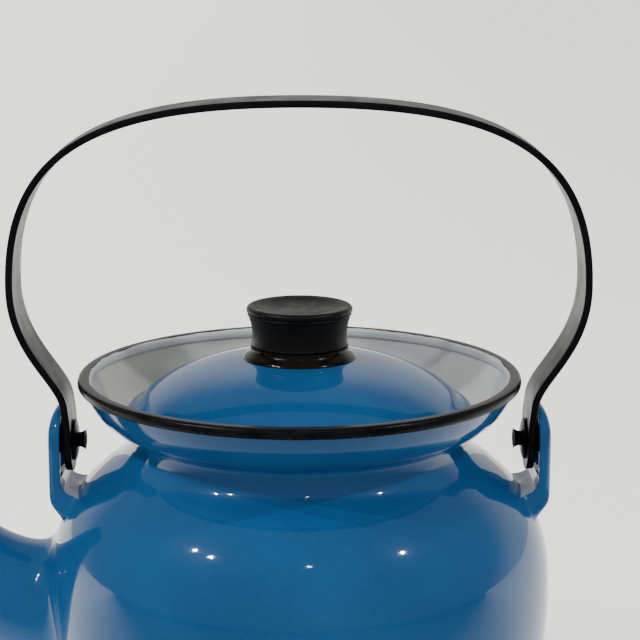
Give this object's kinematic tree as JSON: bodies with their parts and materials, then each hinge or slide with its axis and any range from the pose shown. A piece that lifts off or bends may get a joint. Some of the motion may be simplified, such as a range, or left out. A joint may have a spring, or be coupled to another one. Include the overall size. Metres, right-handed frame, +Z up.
{
  "type": "enamel teapot with infuser",
  "caption": "Enamelled steel teapot with flared collar, recessed domed lid, pierced infuser cup, side spout and swinging strap bail handle.",
  "frame": {"origin": "centre of the flat base, on the pot's axis", "axes": "+Z up the pot's axis; -X towards the spout, in the plane of the upright bail; Y across, along the way the bail swings"},
  "size_m": [0.2242, 0.1558, 0.2156],
  "materials": {
    "enamel_blue": "glossy blue vitreous enamel on steel, white inside",
    "enamel_white": "glossy white vitreous enamel on steel",
    "enamel_black": "glossy black vitreous enamel on the rolled rim",
    "lacquer_black": "glossy black lacquer on steel",
    "phenolic": "satin black phenolic moulding",
    "steel": "plain steel fastener"
  },
  "bodies": {
    "pot": {"lower_shell": "enamel_blue", "shoulder_shell": "enamel_blue", "base_pan": "enamel_blue", "collar": "enamel_blue", "rim_bead": "enamel_black", "spout": "enamel_blue", "lug_spout_side": "enamel_blue", "lug_back_side": "enamel_blue", "stud_spout_side": "lacquer_black", "stud_back_side": "lacquer_black", "washer_spout_side": "lacquer_black", "washer_back_side": "lacquer_black"},
    "bail": {"bail_strap": "lacquer_black"},
    "infuser": {"infuser_wall": "enamel_white", "infuser_floor": "enamel_white", "infuser_rim": "enamel_white"},
    "lid": {"lid_shell": "enamel_blue", "lid_ring": "enamel_white", "knob": "phenolic", "knob_skirt": "phenolic", "knob_insert": "steel", "knob_screw": "steel", "knob_washer": "steel"}
  },
  "joints": [
    {"name": "bail_swing", "type": "hinge", "parent": "pot", "child": "bail", "pos_m": [0, 0, 0.11], "axis": [1, 0, 0], "range_deg": [-92, 92]},
    {"name": "infuser_lift", "type": "slide", "parent": "pot", "child": "infuser", "axis": [0, 0, 1], "range_m": [0, 0.055]},
    {"name": "lid_lift", "type": "slide", "parent": "infuser", "child": "lid", "axis": [0, 0, 1], "range_m": [0, 0.055]}
  ]
}
